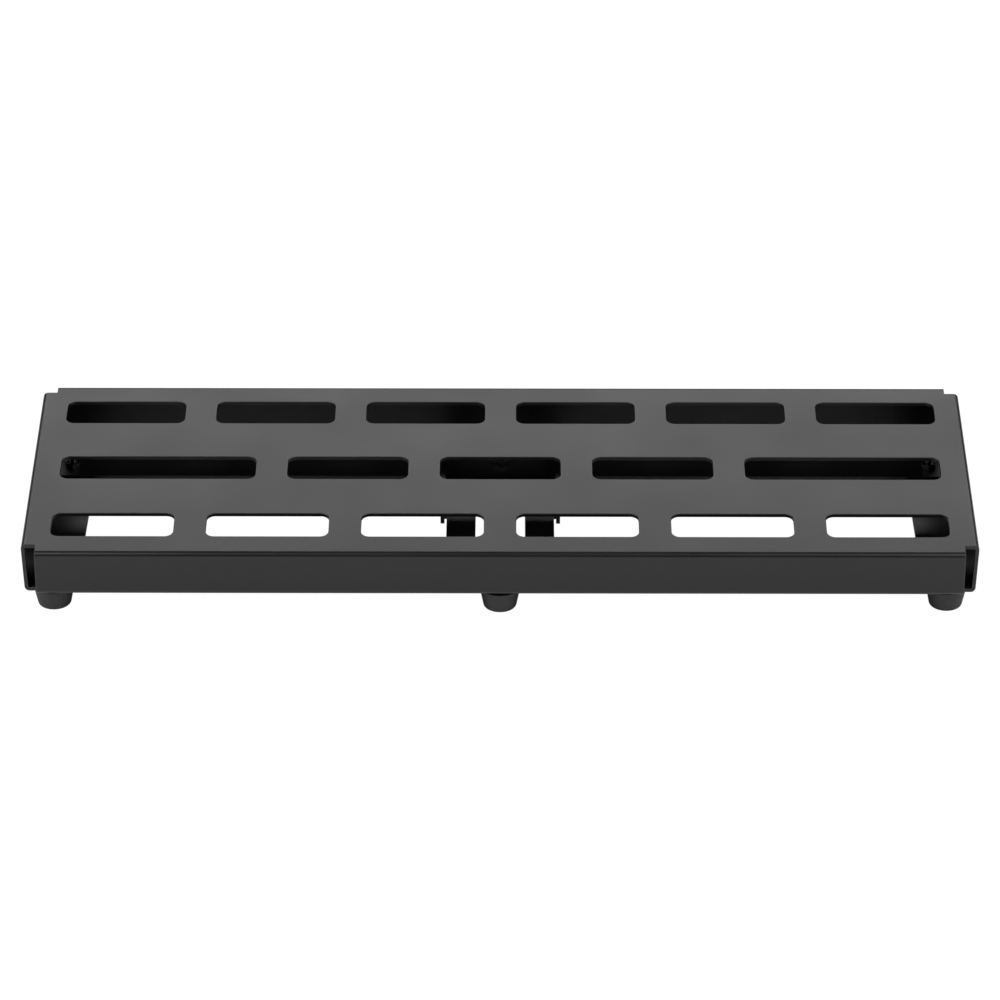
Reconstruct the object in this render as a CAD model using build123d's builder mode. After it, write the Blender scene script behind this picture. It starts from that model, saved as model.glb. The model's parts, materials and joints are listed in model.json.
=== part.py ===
from build123d import *
import os
from math import cos, radians, tan

# Sloped pedalboard: a folded and slotted sheet-metal chassis, a folded centre brace and six screwed rubber feet.
# Millimetres. X runs along the board, Y from the front (-) to the rear (+), Z is up.
# The origin is on the floor, under the middle of the board.

os.makedirs("parts", exist_ok=True)

# Driving dimensions ---------------------------------------------------------------------------------

# Board
board_length = 469.0
board_depth = 142.0
sheet = 2.0
bend = 2.5                    # outer radius of every fold
edge_round = 0.35             # soft rim that the powder coat leaves on a cut edge
deck_slope = 7.0              # degrees, rising to the rear
front_height = 36.5           # floor to the corner where deck and front wall would meet

# Levels: foot, side flange, then the front and rear flanges lying on it, then the brace
foot_height = 11.2
side_flange_level = foot_height
end_flange_level = side_flange_level + sheet
brace_level = end_flange_level + sheet

# Front and rear walls with their flanges
wall_length = 454.6
end_flange = 25.4

# Side channels
channel_inset = (7.0, 6.0)    # from the front face and from the rear face to a channel's upright cut ends
channel_lean = 2.0            # degrees that a side wall folds past square
side_flange_edge = 208.3      # X of the inner edge of a side flange

# Deck slots, measured along the slope
row_pitch = 47.8
slot_width = 18.6
slot_length = 60.25
slot_web = 16.0
end_slot_length = 97.7        # the two outer slots of the middle row
slot_corner = 4.25
full_row_slots = 6            # in the front row and the rear row
middle_row_slots = 3          # of the common length, between the two long ones

# Centre brace
brace_half_width = 30.0
tongue_half_width = 27.0
brace_front = -67.0
brace_rear = 67.0
brace_wall_height = 10.0
brace_wall_front = -8.0
brace_wall_rear = 60.0
brace_fold_front = 1.0        # a side wall is folded up between these two; its ends run on past the fold
brace_fold_rear = 50.5
brace_wall_corner = 3.0
window_width = 24.8
window_front = -31.0
window_rear = 33.0
window_corner = 3.0

# Feet and their fasteners
foot_top_radius = 10.2
foot_bottom_radius = 8.0
foot_rim = 1.5
foot_recess_radius = 5.0
foot_seat = 3.5               # rubber left above the washer
corner_foot_x = 220.0
corner_foot_inset = (15.0, 16.0)      # from the front face, from the rear face
centre_foot_inset = (13.0, 16.0)
washer_thickness = 1.0
spacer_radius = 6.0
screw_diameter = 4.0
screw_clearance = 4.5
screw_head_radius = 4.0
screw_head_height = 2.4
screw_head_round = 1.2
screw_point = 2.3             # thread standing out of the nut
screw_point_chamfer = 0.5
driver_cross = (4.2, 0.9, 1.4)        # length, width and depth of the cross recess
nut_across_flats = 7.0
nut_height = 3.2

# Derived places -------------------------------------------------------------------------------------

front_face = -board_depth / 2
rear_face = board_depth / 2
rear_height = front_height + board_depth * tan(radians(deck_slope))
slope_length = board_depth / cos(radians(deck_slope))
washer_level = foot_height - foot_seat - washer_thickness

# The deck's upper face: its origin is the front corner line, its local Y climbs the slope
deck = Plane((0, front_face, front_height), x_dir=(1, 0, 0), z_dir=(0, 0, 1)).rotated((deck_slope, 0, 0))
deck_underside = deck.offset(-sheet)

foot_places = {
    "front_left": (-corner_foot_x, front_face + corner_foot_inset[0]),
    "front_centre": (0, front_face + centre_foot_inset[0]),
    "front_right": (corner_foot_x, front_face + corner_foot_inset[0]),
    "rear_left": (-corner_foot_x, rear_face - corner_foot_inset[1]),
    "rear_centre": (0, rear_face - centre_foot_inset[1]),
    "rear_right": (corner_foot_x, rear_face - corner_foot_inset[1]),
}


def save(builder, name):
    builder.part.label = name
    export_step(builder.part, f"parts/{name}.step")


def above_floor(x, y, z):
    """Horizontal plane at height z with its origin on a foot's axis."""
    return Plane((x, y, z), x_dir=(1, 0, 0), z_dir=(0, 0, 1))


# Chassis --------------------------------------------------------------------------------------------
# One sheet: deck, front wall, rear wall, two leaning side walls, and a flange turned in along each edge.

channel_section = Plane(deck.origin, x_dir=(1, 0, 0), z_dir=-deck.y_dir)
channel_front = front_face + channel_inset[0]
channel_rear = rear_face - channel_inset[1]
wall_drop = 60.0              # longer than the tallest side wall; the flange level trims it
along_depth = deck_slope + 1  # degrees from Y within which an edge counts as lying along it

with BuildPart() as side_channel:
    with BuildSketch(channel_section):
        with BuildLine():
            Polyline(
                (side_flange_edge, 0),
                (board_length / 2, 0),
                (board_length / 2 - wall_drop * tan(radians(channel_lean)), -wall_drop),
                (side_flange_edge, -wall_drop),
                close=True,
            )
        make_face()
    extrude(amount=-slope_length)
    split(bisect_by=Plane.XY.offset(side_flange_level), keep=Keep.TOP)
    split(bisect_by=Plane.XZ.offset(-channel_front), keep=Keep.BOTTOM)
    split(bisect_by=Plane.XZ.offset(-channel_rear), keep=Keep.TOP)
    outer_wall = side_channel.faces().sort_by(Axis.X)[-1]
    fillet(outer_wall.edges().filter_by(Axis.Y, tolerance=along_depth), bend)
    cut_ends = side_channel.faces().filter_by(Axis.Y)
    inner_side = side_channel.faces().sort_by(Axis.X)[0]
    offset(amount=-sheet, openings=[*cut_ends, inner_side])
    cut_ends = side_channel.faces().filter_by(Axis.Y)
    flange_lip = side_channel.edges().group_by(Axis.X)[0].filter_by(Axis.Y)
    fillet([*cut_ends.edges(), *flange_lip], edge_round)

with BuildPart() as chassis:
    with BuildSketch(Plane.YZ):
        with BuildLine():
            Polyline(
                (front_face, end_flange_level),
                (front_face, front_height),
                (rear_face, rear_height),
                (rear_face, end_flange_level),
                close=True,
            )
        make_face()
        fillet(vertices(), bend)
        offset(amount=-sheet, mode=Mode.SUBTRACT)
        with Locations((0, end_flange_level)):
            Rectangle(
                board_depth - 2 * end_flange,
                sheet,
                align=(Align.CENTER, Align.MIN),
                mode=Mode.SUBTRACT,
            )
        fillet(vertices().filter_by(lambda corner: abs(corner.X) < rear_face - 2 * bend), edge_round)
    extrude(amount=wall_length / 2, both=True)
    fillet(chassis.faces().filter_by(Axis.X).edges(), edge_round)
    add(side_channel.part)
    add(mirror(side_channel.part, about=Plane.YZ, mode=Mode.PRIVATE))

    # Three rows of slots: equal ones in the front and rear rows, and a longer one at each end of the middle row
    pitch = slot_length + slot_web
    middle = slope_length / 2
    end_slot_x = (middle_row_slots + 1) / 2 * pitch + (end_slot_length - slot_length) / 2
    with BuildSketch(deck):
        for row in (middle - row_pitch, middle + row_pitch):
            with Locations((0, row)), GridLocations(pitch, 1, full_row_slots, 1):
                RectangleRounded(slot_length, slot_width, slot_corner)
        with Locations((0, middle)), GridLocations(pitch, 1, middle_row_slots, 1):
            RectangleRounded(slot_length, slot_width, slot_corner)
        with Locations((-end_slot_x, middle), (end_slot_x, middle)):
            RectangleRounded(end_slot_length, slot_width, slot_corner)
    extrude(amount=-2 * sheet, mode=Mode.SUBTRACT)

    # Holes for the foot screws, through one flange at the centre and two at the corners
    for x, y in foot_places.values():
        with BuildSketch(above_floor(x, y, side_flange_level)):
            Circle(screw_clearance / 2)
        extrude(amount=2 * sheet, mode=Mode.SUBTRACT)

    # Soft rims around the slots, above and below
    deck_normal = Axis(deck.origin, deck.z_dir)
    deck_faces = chassis.faces().filter_by(deck_normal).sort_by(SortBy.AREA)[-2:]
    rims = ShapeList(edge for face in deck_faces for wire in face.inner_wires() for edge in wire.edges())
    fillet(rims, edge_round)

save(chassis, "chassis")

# Centre brace ---------------------------------------------------------------------------------------
# A shallow channel that ties the rear flange to the front one, with a narrower tongue at each end.

with BuildPart() as centre_brace:
    with BuildSketch(Plane.XZ.offset(-brace_fold_front)):
        with Locations((0, brace_level)):
            Rectangle(2 * brace_half_width, brace_wall_height, align=(Align.CENTER, Align.MIN))
        fillet(vertices().group_by(Axis.Y)[0], bend)
        with Locations((0, brace_level + sheet)):
            RectangleRounded(
                2 * (brace_half_width - sheet),
                2 * brace_wall_height,
                bend - sheet,
                align=(Align.CENTER, Align.MIN),
                mode=Mode.SUBTRACT,
            )
    extrude(amount=brace_fold_front - brace_fold_rear)

    # The ends of the side walls, cut free of the tongues by relief slits
    wall_bottom = brace_level + bend
    brace_wall_length = brace_wall_rear - brace_wall_front
    with BuildSketch(Plane.YZ.offset(-brace_half_width)):
        with Locations((brace_wall_front, wall_bottom)):
            Rectangle(brace_wall_length, brace_wall_height - bend, align=(Align.MIN, Align.MIN))
        fillet(vertices().group_by(Axis.Y)[-1], brace_wall_corner)
    extrude(amount=sheet)
    mirror(about=Plane.YZ)

    # The tongues, one plate with the channel's floor
    with BuildSketch(Plane.XY.offset(brace_level)):
        with Locations((0, brace_front)):
            Rectangle(2 * tongue_half_width, brace_rear - brace_front, align=(Align.CENTER, Align.MIN))
    extrude(amount=sheet)

    # The window and the two screw holes
    with BuildSketch(Plane.XY.offset(brace_level)):
        with Locations((0, (window_front + window_rear) / 2)):
            RectangleRounded(window_width, window_rear - window_front, window_corner)
        with Locations(foot_places["front_centre"], foot_places["rear_centre"]):
            Circle(screw_clearance / 2)
    extrude(amount=sheet, mode=Mode.SUBTRACT)

    # Soft rims round the window and along the tongues
    plate_faces = centre_brace.faces().filter_by(Axis.Z).sort_by(SortBy.AREA)[-2:]
    rims = ShapeList(edge for face in plate_faces for wire in face.inner_wires() for edge in wire.edges())
    fillet(rims, edge_round)

save(centre_brace, "centre_brace")

# Feet, washers, spacers, screws and nuts ------------------------------------------------------------

for place, (x, y) in foot_places.items():
    axis = Axis((x, y, 0), (0, 0, 1))
    is_centre = place.endswith("centre")
    nut_level = brace_level + (sheet if is_centre else 0)

    with BuildPart() as foot:
        with BuildSketch(Plane((x, y, 0), x_dir=(1, 0, 0), z_dir=(0, -1, 0))):
            with BuildLine():
                Polyline(
                    (foot_recess_radius, 0),
                    (foot_bottom_radius, 0),
                    (foot_top_radius, foot_height),
                    (screw_clearance / 2, foot_height),
                    (screw_clearance / 2, foot_height - foot_seat),
                    (foot_recess_radius, foot_height - foot_seat),
                    close=True,
                )
            make_face()
            rim = vertices().group_by(Axis.Y)[0].sort_by(Axis.X)[-1]
            fillet(rim, foot_rim)
        revolve(axis=axis)
    save(foot, f"foot_{place}")

    with BuildPart() as washer:
        with BuildSketch(above_floor(x, y, washer_level)):
            Circle(foot_recess_radius)
            Circle(screw_clearance / 2, mode=Mode.SUBTRACT)
        extrude(amount=washer_thickness)
    save(washer, f"foot_washer_{place}")

    if is_centre:
        with BuildPart() as spacer:
            with BuildSketch(above_floor(x, y, foot_height)):
                Circle(spacer_radius)
                Circle(screw_clearance / 2, mode=Mode.SUBTRACT)
            extrude(amount=end_flange_level - foot_height)
        save(spacer, f"foot_spacer_{place}")

    with BuildPart() as nut:
        with BuildSketch(above_floor(x, y, nut_level)):
            RegularPolygon(nut_across_flats / 2, 6, major_radius=False)
            Circle(screw_diameter / 2, mode=Mode.SUBTRACT)
        extrude(amount=nut_height)
    save(nut, f"foot_nut_{place}")

    with BuildPart() as screw:
        head_level = washer_level - screw_head_height
        with BuildSketch(above_floor(x, y, head_level)):
            Circle(screw_head_radius)
        extrude(amount=screw_head_height)
        fillet(screw.edges().group_by(Axis.Z)[0], screw_head_round)
        with BuildSketch(above_floor(x, y, washer_level)):
            Circle(screw_diameter / 2)
        extrude(amount=nut_level + nut_height + screw_point - washer_level)
        chamfer(screw.edges().group_by(Axis.Z)[-1], screw_point_chamfer)
        cross_length, cross_width, cross_depth = driver_cross
        with BuildSketch(above_floor(x, y, head_level)):
            Rectangle(cross_length, cross_width)
            Rectangle(cross_width, cross_length)
        extrude(amount=cross_depth, mode=Mode.SUBTRACT)
    save(screw, f"foot_screw_{place}")
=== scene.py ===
"""Looks of a sloped pedalboard: powder-coated sheet metal, moulded rubber feet and black zinc fasteners.

Everything is in metres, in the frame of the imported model: X along the board, Y to the rear, Z up.
"""

import json
import math

import bmesh
import bpy
from mathutils import Matrix, Vector


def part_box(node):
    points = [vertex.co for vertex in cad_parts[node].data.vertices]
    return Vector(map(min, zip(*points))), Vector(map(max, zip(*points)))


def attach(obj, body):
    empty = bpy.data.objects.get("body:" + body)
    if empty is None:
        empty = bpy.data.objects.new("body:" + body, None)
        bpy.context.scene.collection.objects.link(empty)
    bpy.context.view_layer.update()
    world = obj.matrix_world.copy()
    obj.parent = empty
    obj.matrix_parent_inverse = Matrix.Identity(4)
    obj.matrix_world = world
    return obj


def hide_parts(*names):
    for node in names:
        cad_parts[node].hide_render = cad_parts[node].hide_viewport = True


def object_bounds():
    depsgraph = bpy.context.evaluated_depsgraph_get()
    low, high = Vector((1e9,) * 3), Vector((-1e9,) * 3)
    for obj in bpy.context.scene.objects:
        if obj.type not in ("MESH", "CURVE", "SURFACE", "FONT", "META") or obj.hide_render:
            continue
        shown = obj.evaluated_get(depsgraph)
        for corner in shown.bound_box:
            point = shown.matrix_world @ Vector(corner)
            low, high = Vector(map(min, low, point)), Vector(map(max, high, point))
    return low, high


MM = 0.001
WHITE = 1.1                   # just past pure white, so that the ground has no edge
PALE_BOARD = (0.82, 0.82, 0.82, 1.0)

PLACES = ("front_left", "front_centre", "front_right", "rear_left", "rear_centre", "rear_right")


# Material nodes -------------------------------------------------------------------------------------


class Nodes:
    """A small hand on a node tree: makes nodes and joins them."""

    def __init__(self, tree):
        self.tree = tree

    def make(self, kind, **settings):
        node = self.tree.nodes.new(kind)
        for name, value in settings.items():
            setattr(node, name, value)
        return node

    def join(self, source, target):
        self.tree.links.new(source, target)

    def noise(self, coordinates, size, detail=2.0, roughness=0.5, stretch=None):
        """Noise whose grains are about size metres across."""
        node = self.make("ShaderNodeTexNoise")
        node.inputs["Scale"].default_value = 1.0 / size
        node.inputs["Detail"].default_value = detail
        node.inputs["Roughness"].default_value = roughness
        if stretch:
            mapping = self.make("ShaderNodeMapping")
            mapping.inputs["Scale"].default_value = stretch
            self.join(coordinates, mapping.inputs["Vector"])
            coordinates = mapping.outputs["Vector"]
        self.join(coordinates, node.inputs["Vector"])
        return node.outputs["Fac"]

    def spread(self, value, low, high, start=0.3, end=0.7):
        """Takes a value that runs from start to end to the range low to high."""
        node = self.make("ShaderNodeMapRange")
        node.inputs["From Min"].default_value = start
        node.inputs["From Max"].default_value = end
        node.inputs["To Min"].default_value = low
        node.inputs["To Max"].default_value = high
        self.join(value, node.inputs["Value"])
        return node.outputs["Result"]

    def blend(self, factor, first, second):
        """A colour between first and second, each a fixed colour or another node's."""
        node = self.make("ShaderNodeMix", data_type="RGBA")
        sockets = [socket for socket in node.inputs if socket.type == "RGBA"]
        for socket, colour in zip(sockets, (first, second)):
            if isinstance(colour, tuple):
                socket.default_value = (*colour, 1.0)
            else:
                self.join(colour, socket)
        self.join(factor, node.inputs["Factor"])
        return next(socket for socket in node.outputs if socket.type == "RGBA")

    def edges(self, reach, low, high):
        """1 within about reach metres of an outer edge or a rim, 0 on the open faces."""
        softened_normal = self.make("ShaderNodeBevel", samples=8)
        softened_normal.inputs["Radius"].default_value = reach
        true_normal = self.make("ShaderNodeNewGeometry").outputs["True Normal"]
        likeness = self.make("ShaderNodeVectorMath", operation="DOT_PRODUCT")
        self.join(softened_normal.outputs["Normal"], likeness.inputs[0])
        self.join(true_normal, likeness.inputs[1])
        difference = self.make("ShaderNodeMath", operation="SUBTRACT")
        difference.inputs[0].default_value = 1.0
        self.join(likeness.outputs["Value"], difference.inputs[1])
        return self.spread(difference.outputs["Value"], 0.0, 1.0, start=low, end=high)

    def bump(self, height, depth, below=None):
        """Surface relief that is depth metres deep where height runs from 0 to 1."""
        node = self.make("ShaderNodeBump")
        node.inputs["Distance"].default_value = depth
        self.join(height, node.inputs["Height"])
        if below:
            self.join(below, node.inputs["Normal"])
        return node.outputs["Normal"]


def new_material(name, metallic=0.0):
    """A material with its nodes, its Principled shader and the object's coordinates in metres."""
    material = bpy.data.materials.new(name)
    material.use_nodes = True
    nodes = Nodes(material.node_tree)
    shader = next(n for n in material.node_tree.nodes if n.type == "BSDF_PRINCIPLED")
    shader.inputs["Metallic"].default_value = metallic
    coordinates = nodes.make("ShaderNodeTexCoord").outputs["Object"]
    return material, nodes, shader, coordinates


def powder_coat():
    """Satin black powder coat: orange peel, finer grit, uneven gloss, and edges painted lighter, partly
    rubbed wear and partly a painted highlight along the rims.
    """
    material, nodes, shader, at = new_material("powder_coat")
    clouds = nodes.noise(at, 45 * MM, detail=3.0)
    peel = nodes.noise(at, 1.6 * MM, detail=1.0)
    grit = nodes.noise(at, 0.35 * MM, detail=2.0)
    # Lighter band along every edge and slot rim: partly wear of the coat, partly a painted highlight
    # standing in for light caught by the rounded rims
    edge_wear_and_highlight = nodes.edges(reach=1.3 * MM, low=0.006, high=0.1)
    coat = nodes.blend(clouds, (0.0052, 0.0052, 0.0055), (0.0075, 0.0075, 0.0078))
    wear_and_highlight_tone = nodes.blend(clouds, (0.022, 0.022, 0.023), (0.030, 0.030, 0.031))
    nodes.join(nodes.blend(edge_wear_and_highlight, coat, wear_and_highlight_tone), shader.inputs["Base Color"])
    nodes.join(nodes.spread(clouds, 0.29, 0.33), shader.inputs["Roughness"])
    relief = nodes.bump(peel, 0.004 * MM)
    relief = nodes.bump(grit, 0.0015 * MM, below=relief)
    nodes.join(relief, shader.inputs["Normal"])
    return material


def rubber():
    """Moulded black rubber, matte, with a fine bloom."""
    material, nodes, shader, at = new_material("foot_rubber")
    bloom = nodes.noise(at, 3 * MM, detail=4.0)
    grain = nodes.noise(at, 0.25 * MM, detail=2.0)
    nodes.join(nodes.blend(bloom, (0.016, 0.016, 0.016), (0.026, 0.026, 0.025)), shader.inputs["Base Color"])
    nodes.join(nodes.spread(bloom, 0.52, 0.64), shader.inputs["Roughness"])
    nodes.join(nodes.bump(grain, 0.006 * MM), shader.inputs["Normal"])
    return material


def zinc():
    """Black zinc plate with a faint blue cast and fine turning marks."""
    material, nodes, shader, at = new_material("zinc_steel", metallic=1.0)
    patches = nodes.noise(at, 1.8 * MM, detail=3.0)
    marks = nodes.noise(at, 0.3 * MM, detail=2.0, stretch=(1.0, 1.0, 5.0))
    nodes.join(nodes.blend(patches, (0.085, 0.088, 0.095), (0.13, 0.13, 0.13)), shader.inputs["Base Color"])
    nodes.join(nodes.spread(patches, 0.2, 0.3), shader.inputs["Roughness"])
    nodes.join(nodes.bump(marks, 0.004 * MM), shader.inputs["Normal"])
    return material


def nylon():
    """Matte black nylon with a light moulded texture."""
    material, nodes, shader, at = new_material("nylon")
    tone = nodes.noise(at, 4 * MM, detail=2.0)
    grain = nodes.noise(at, 0.4 * MM, detail=2.0)
    nodes.join(nodes.blend(tone, (0.018, 0.018, 0.018), (0.028, 0.028, 0.028)), shader.inputs["Base Color"])
    nodes.join(nodes.spread(tone, 0.42, 0.5), shader.inputs["Roughness"])
    nodes.join(nodes.bump(grain, 0.005 * MM), shader.inputs["Normal"])
    return material


def finish_node(node, material):
    """Gives a CAD node its material."""
    node.data.materials.clear()
    node.data.materials.append(material)


# Meshes: every measure in millimetres, turned about the vertical axis at X 0, Y 0 ---------------------


def softened(outline, steps=4):
    """A closed outline of (radius, height, round) corners, each corner rounded off by its own amount."""
    points = []
    for index, (radius, height, soft) in enumerate(outline):
        corner = Vector((radius, height))
        before = Vector(outline[index - 1][:2])
        after = Vector(outline[(index + 1) % len(outline)][:2])
        if not soft:
            points.append(corner)
            continue
        start = corner + (before - corner).normalized() * soft
        end = corner + (after - corner).normalized() * soft
        for step in range(steps + 1):
            t = step / steps
            points.append(start * (1 - t) ** 2 + corner * 2 * t * (1 - t) + end * t**2)
    return points


def turn(bm, outline, segments=96):
    """Turns a closed outline of (radius, height) points into a closed solid."""
    rings = []
    for k in range(segments):
        angle = 2 * math.pi * k / segments
        c, s = math.cos(angle), math.sin(angle)
        rings.append([bm.verts.new((p[0] * c, p[0] * s, p[1])) for p in outline])
    for k in range(segments):
        here, there = rings[k], rings[(k + 1) % segments]
        for a in range(len(outline)):
            b = (a + 1) % len(outline)
            bm.faces.new((here[a], here[b], there[b], there[a]))
    bmesh.ops.remove_doubles(bm, verts=bm.verts, dist=1e-5)


def cap(bm, ring, height):
    """Closes a ring of vertices with a fan to its middle."""
    middle = bm.verts.new((0, 0, height))
    for k in range(len(ring)):
        bm.faces.new((ring[k], ring[(k + 1) % len(ring)], middle))


def thread(bm, radius, pitch, low, high, point, columns=40, rows_per_turn=10):
    """A screw shank with a V thread from low to high, its crests cut down to a short point."""
    depth = THREAD_DEPTH * pitch
    steepness = 1.5                   # of the thread's flanks
    root = 0.2                        # how much the flat between two turns takes from them
    rows = math.ceil((high - low) / pitch * rows_per_turn)
    rings = []
    for i in range(rows + 1):
        z = low + (high - low) * i / rows
        ring = []
        for k in range(columns):
            crest = 1 - abs(2 * ((z / pitch - k / columns) % 1.0) - 1)
            filled = min(max(steepness * crest - root, 0), 1)
            r = radius - depth * (1 - filled)
            r = min(r, radius - point + (high - z))
            angle = 2 * math.pi * k / columns
            ring.append(bm.verts.new((r * math.cos(angle), r * math.sin(angle), z)))
        rings.append(ring)
    for under, over in zip(rings, rings[1:]):
        for k in range(columns):
            j = (k + 1) % columns
            bm.faces.new((under[k], under[j], over[j], over[k]))
    cap(bm, rings[0], low)
    cap(bm, rings[-1], high)


def hexagon(bm, flats, bore, low, high, segments=96):
    """A nut: a hexagon whose corners are cut back by a cone at both ends, round a chamfered bore."""
    apothem = flats / 2
    flat_radius = 0.95 * apothem      # the flat ring left on each end face
    slope = math.tan(math.radians(30))
    lead = 0.3                        # chamfer at each end of the bore
    rings = []
    for k in range(segments):
        angle = 2 * math.pi * k / segments
        reach = apothem / math.cos((angle + math.pi / 6) % (math.pi / 3) - math.pi / 6)
        drop = (reach - flat_radius) * slope
        outline = [
            (bore, low + lead),
            (bore + lead, low),
            (flat_radius, low),
            (reach, low + drop),
            (reach, high - drop),
            (flat_radius, high),
            (bore + lead, high),
            (bore, high - lead),
        ]
        c, s = math.cos(angle), math.sin(angle)
        rings.append([bm.verts.new((r * c, r * s, z)) for r, z in outline])
    for k in range(segments):
        here, there = rings[k], rings[(k + 1) % segments]
        for a in range(len(here)):
            b = (a + 1) % len(here)
            bm.faces.new((here[a], here[b], there[b], there[a]))


def cross_cutter(length, width, depth, low):
    """The tapered cross of a driver tip, from below a screw head's lower face to depth inside it."""
    inner = (0.45, 0.75)              # shares of length and width at the tip's inner end
    outer = (1.1, 1.05)               # and at its outer end, below the face
    bm = bmesh.new()
    for turned in (0, math.pi / 2):
        bmesh.ops.create_cube(bm, size=1.0)
        block = bm.verts[-8:]
        for vertex in block:
            deep = vertex.co.z > 0
            along, across = inner if deep else outer
            x = vertex.co.x * length * along
            y = vertex.co.y * width * across
            c, s = math.cos(turned), math.sin(turned)
            vertex.co = (x * c - y * s, x * s + y * c, low + (depth if deep else -0.5 * depth))
    return bm


def as_object(name, bm):
    """A new object from a bmesh in millimetres."""
    bmesh.ops.recalc_face_normals(bm, faces=bm.faces)
    bmesh.ops.scale(bm, vec=(MM, MM, MM), verts=bm.verts)
    mesh = bpy.data.meshes.new(name)
    bm.to_mesh(mesh)
    bm.free()
    thing = bpy.data.objects.new(name, mesh)
    bpy.context.scene.collection.objects.link(thing)
    return thing


def carved(thing, cutter):
    """Takes cutter away from thing and leaves the result as thing's own mesh."""
    modifier = thing.modifiers.new("carve", "BOOLEAN")
    modifier.object = cutter
    modifier.operation = "DIFFERENCE"
    modifier.solver = "EXACT"
    bpy.context.view_layer.update()
    result = bpy.data.meshes.new_from_object(thing.evaluated_get(bpy.context.evaluated_depsgraph_get()))
    thing.modifiers.clear()
    thing.data = result
    bpy.data.objects.remove(cutter)


def place_piece(thing, node, smooth_angle=35):
    """Stands a finished mesh in for a CAD node: same axis, same body, same material slot."""
    low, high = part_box(node)
    thing.data.transform(Matrix.Translation(((low.x + high.x) / 2, (low.y + high.y) / 2, 0)))
    thing.data.polygons.foreach_set("use_smooth", [True] * len(thing.data.polygons))
    thing.data.set_sharp_from_angle(angle=math.radians(smooth_angle))
    thing.data.materials.clear()
    thing.data.materials.append(materials[slots[node]])
    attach(thing, "root")
    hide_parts(node)


def span(node):
    """(lowest, highest, outer radius) of a round node, in millimetres."""
    low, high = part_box(node)
    return low.z / MM, high.z / MM, (high.x - low.x) / 2 / MM


# The small pieces -----------------------------------------------------------------------------------

SHANK_RADIUS = 2.0
CLEARANCE_RADIUS = 2.25
RECESS_RADIUS = 5.0
THREAD_PITCH = 0.7
THREAD_DEPTH = 0.61           # over the pitch
THREAD_IN_HEAD = 0.4          # the shank starts this far inside the head
THREAD_POINT = 0.5            # height of the cone that ends the shank
HEAD_HEIGHT = 2.4
DRIVE_LENGTH, DRIVE_WIDTH, DRIVE_DEPTH = 4.2, 0.9, 1.4
FOOT_TAPER = 0.784            # a foot's sole radius over its top radius
SOLE_ROUND = 1.5
RIM_ROUND = 0.35
BORE_ROUND = 0.2
SEAT_ROUND = 0.25
WASHER_ROUND = 0.22
SPACER_ROUND = 0.2


def rubber_foot(place):
    """A tapered foot with a soft rim, and a recess below for the washer and the screw head."""
    bottom, top, radius = span(f"foot_{place}")
    seat = span(f"foot_washer_{place}")[1]
    sole = radius * FOOT_TAPER
    bm = bmesh.new()
    outline = [
        (RECESS_RADIUS, bottom, RIM_ROUND),
        (sole, bottom, SOLE_ROUND),
        (radius, top, RIM_ROUND),
        (CLEARANCE_RADIUS, top, BORE_ROUND),
        (CLEARANCE_RADIUS, seat, 0.0),
        (RECESS_RADIUS, seat, SEAT_ROUND),
    ]
    turn(bm, softened(outline, steps=6), segments=128)
    place_piece(as_object(f"rubber_foot_{place}", bm), f"foot_{place}")


def flat_ring(kind, place, edge):
    """A flat ring round the screw with rolled edges: a stamped steel washer or a turned nylon spacer."""
    low, high, radius = span(f"foot_{kind}_{place}")
    bm = bmesh.new()
    ring = [(CLEARANCE_RADIUS, low), (radius, low), (radius, high), (CLEARANCE_RADIUS, high)]
    turn(bm, softened([(r, z, edge) for r, z in ring]))
    place_piece(as_object(f"{kind}_{place}", bm), f"foot_{kind}_{place}")


def hex_nut(place):
    """A plated hexagon nut."""
    low, high, _ = span(f"foot_nut_{place}")
    box_low, box_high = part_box(f"foot_nut_{place}")
    flats = min(box_high.x - box_low.x, box_high.y - box_low.y) / MM
    bm = bmesh.new()
    hexagon(bm, flats, SHANK_RADIUS, low, high)
    place_piece(as_object(f"nut_{place}", bm), f"foot_nut_{place}", smooth_angle=22)


def machine_screw(place):
    """A pan-head screw, head down in the foot's recess, with a cross drive and a real thread."""
    low, high, radius = span(f"foot_screw_{place}")
    shoulder = low + HEAD_HEIGHT
    face_radius = 0.55 * radius       # the head's flat lower face
    brim = low + 0.3 * HEAD_HEIGHT    # where the head's sides turn upright
    bm = bmesh.new()
    outline = [
        (0.0, low, 0.0),
        (face_radius, low, 0.5),
        (radius, brim, 0.7),
        (radius, shoulder, 0.2),
        (0.0, shoulder, 0.0),
    ]
    turn(bm, softened(outline))
    head = as_object(f"screw_{place}", bm)
    cutter = as_object("driver", cross_cutter(DRIVE_LENGTH, DRIVE_WIDTH, DRIVE_DEPTH, low))
    carved(head, cutter)
    bm = bmesh.new()
    bm.from_mesh(head.data)
    bmesh.ops.scale(bm, vec=(1 / MM, 1 / MM, 1 / MM), verts=bm.verts)
    thread(bm, SHANK_RADIUS, THREAD_PITCH, shoulder - THREAD_IN_HEAD, high, THREAD_POINT)
    bpy.data.objects.remove(head)
    place_piece(as_object(f"screw_{place}", bm), f"foot_screw_{place}")


# Stage ----------------------------------------------------------------------------------------------


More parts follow.
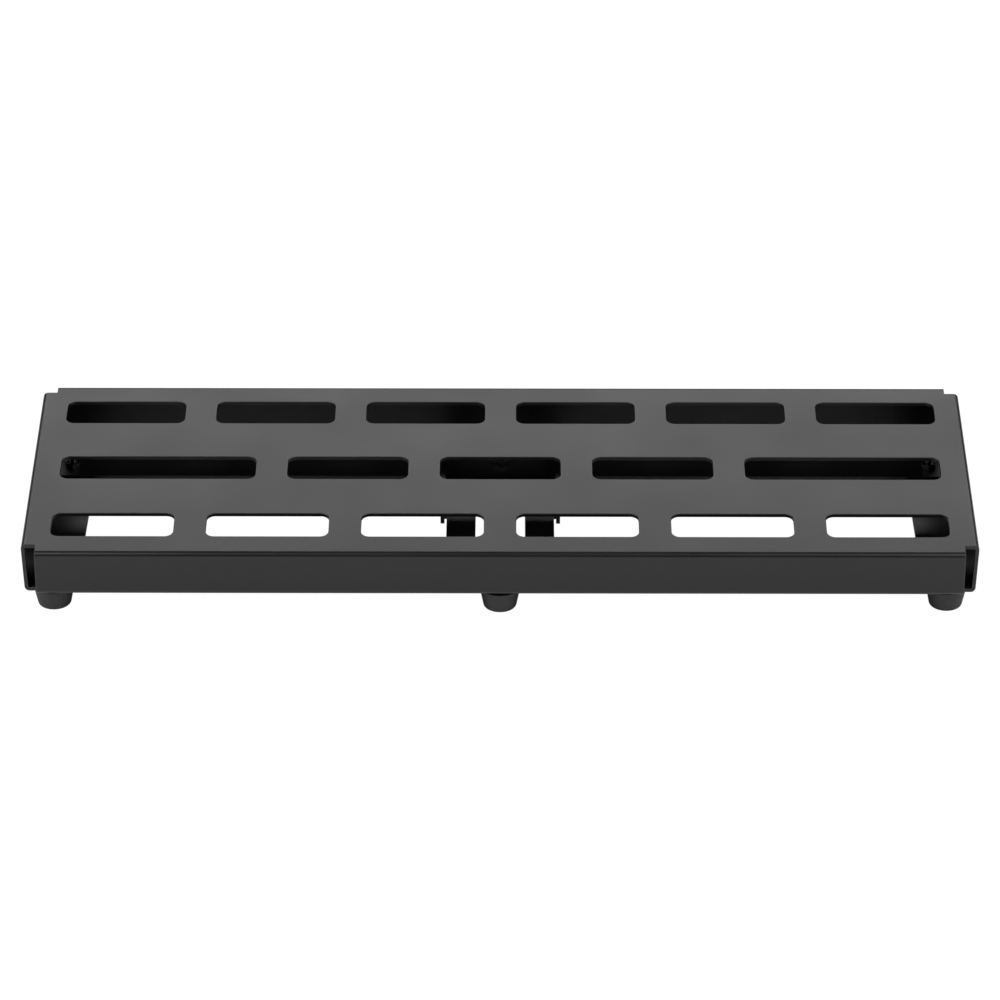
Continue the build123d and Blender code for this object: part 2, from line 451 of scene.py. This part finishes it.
def pale_floor(size, white, seen_white):
    """A floor of pale board. To the camera, seen_white of it is even white and the rest is lit board."""
    bpy.ops.mesh.primitive_plane_add(size=size)
    floor = bpy.context.object
    floor.name = "floor"
    material = bpy.data.materials.new("pale_floor")
    material.use_nodes = True
    nodes = Nodes(material.node_tree)
    material.node_tree.nodes.clear()
    board = nodes.make("ShaderNodeBsdfDiffuse")
    board.inputs["Color"].default_value = PALE_BOARD
    glow = nodes.make("ShaderNodeEmission")
    glow.inputs["Strength"].default_value = white
    rays = nodes.make("ShaderNodeLightPath")
    share = nodes.make("ShaderNodeMath", operation="MULTIPLY")
    share.inputs[1].default_value = seen_white
    mix = nodes.make("ShaderNodeMixShader")
    out = nodes.make("ShaderNodeOutputMaterial")
    nodes.join(rays.outputs["Is Camera Ray"], share.inputs[0])
    nodes.join(share.outputs[0], mix.inputs["Fac"])
    nodes.join(board.outputs["BSDF"], mix.inputs[1])
    nodes.join(glow.outputs["Emission"], mix.inputs[2])
    nodes.join(mix.outputs["Shader"], out.inputs["Surface"])
    floor.data.materials.append(material)


def surroundings(white, ambient):
    """White behind the floor for the camera, and a dim even light from the room for everything else."""
    world = bpy.data.worlds.new("studio")
    bpy.context.scene.world = world
    world.use_nodes = True
    nodes = Nodes(world.node_tree)
    world.node_tree.nodes.clear()
    seen = nodes.make("ShaderNodeBackground")
    seen.inputs["Color"].default_value = (1.0, 1.0, 1.0, 1.0)
    seen.inputs["Strength"].default_value = white
    room = nodes.make("ShaderNodeBackground")
    room.inputs["Color"].default_value = (1.0, 1.0, 1.0, 1.0)
    room.inputs["Strength"].default_value = ambient
    rays = nodes.make("ShaderNodeLightPath")
    mix = nodes.make("ShaderNodeMixShader")
    out = nodes.make("ShaderNodeOutputWorld")
    nodes.join(rays.outputs["Is Camera Ray"], mix.inputs["Fac"])
    nodes.join(room.outputs["Background"], mix.inputs[1])
    nodes.join(seen.outputs["Background"], mix.inputs[2])
    nodes.join(mix.outputs["Shader"], out.inputs["Surface"])


def softbox(name, place, target, width, height, brightness):
    """A rectangular area light at place, facing target, of an even brightness."""
    light = bpy.data.lights.new(name, "AREA")
    light.shape = "RECTANGLE"
    light.size, light.size_y = width, height
    light.energy = brightness * width * height * math.pi
    lamp = bpy.data.objects.new(name, light)
    bpy.context.scene.collection.objects.link(lamp)
    lamp.location = place
    lamp.rotation_euler = (Vector(target) - Vector(place)).to_track_quat("-Z", "Y").to_euler()
    lamp.visible_camera = False


def sphere_point(distance, azimuth, elevation):
    """A point round the board: azimuth 0 is in front of it and 180 behind it."""
    a, e = math.radians(azimuth), math.radians(elevation)
    return Vector((math.sin(a) * math.cos(e), -math.cos(a) * math.cos(e), math.sin(e))) * distance


def long_lens(target, distance, azimuth, elevation, lens):
    """The camera, looking at target from an azimuth and an elevation in degrees."""
    data = bpy.data.cameras.new("camera")
    data.lens = lens
    data.sensor_width = 36.0
    data.clip_start, data.clip_end = 0.05, 50.0
    camera = bpy.data.objects.new("camera", data)
    bpy.context.scene.collection.objects.link(camera)
    camera.location = Vector(target) + sphere_point(distance, azimuth, elevation)
    camera.rotation_euler = (Vector(target) - camera.location).to_track_quat("-Z", "Y").to_euler()
    bpy.context.scene.camera = camera


# The board ------------------------------------------------------------------------------------------

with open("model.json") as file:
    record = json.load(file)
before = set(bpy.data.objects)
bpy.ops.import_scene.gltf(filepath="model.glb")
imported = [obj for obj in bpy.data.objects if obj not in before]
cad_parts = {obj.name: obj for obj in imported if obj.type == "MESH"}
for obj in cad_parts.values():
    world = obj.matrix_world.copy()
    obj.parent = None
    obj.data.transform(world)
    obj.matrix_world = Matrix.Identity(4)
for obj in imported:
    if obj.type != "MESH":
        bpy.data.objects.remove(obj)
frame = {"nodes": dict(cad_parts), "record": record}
cad_low, cad_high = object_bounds()
materials = {"powder_coat": powder_coat(), "foot_rubber": rubber(), "zinc_steel": zinc(), "nylon": nylon()}
slots = {row["node"]: row["material_slot"] for row in frame["record"]["subparts"]}
for name, node in frame["nodes"].items():
    finish_node(node, materials[slots[name]])

for place in PLACES:
    rubber_foot(place)
    flat_ring("washer", place, WASHER_ROUND)
    hex_nut(place)
    machine_screw(place)
    if place.endswith("centre"):
        flat_ring("spacer", place, SPACER_ROUND)

middle = (cad_low + cad_high) / 2
aim_shift = Vector((-0.16 * MM, 0, 0))
long_lens(middle + aim_shift, distance=2.1909, azimuth=0.179, elevation=29.4, lens=156.94)

pale_floor(size=12.0, white=WHITE, seen_white=0.9)
surroundings(white=WHITE, ambient=0.045)
softbox("backdrop", sphere_point(2.2, 180, 41), middle, 4.0, 0.42, brightness=3.6)
softbox("left_box", sphere_point(1.6, -58, 44), middle, 1.2, 1.2, brightness=3.95)
softbox("right_box", sphere_point(1.6, 58, 44), middle, 1.2, 1.2, brightness=3.95)

bpy.context.scene.view_settings.view_transform = "Standard"
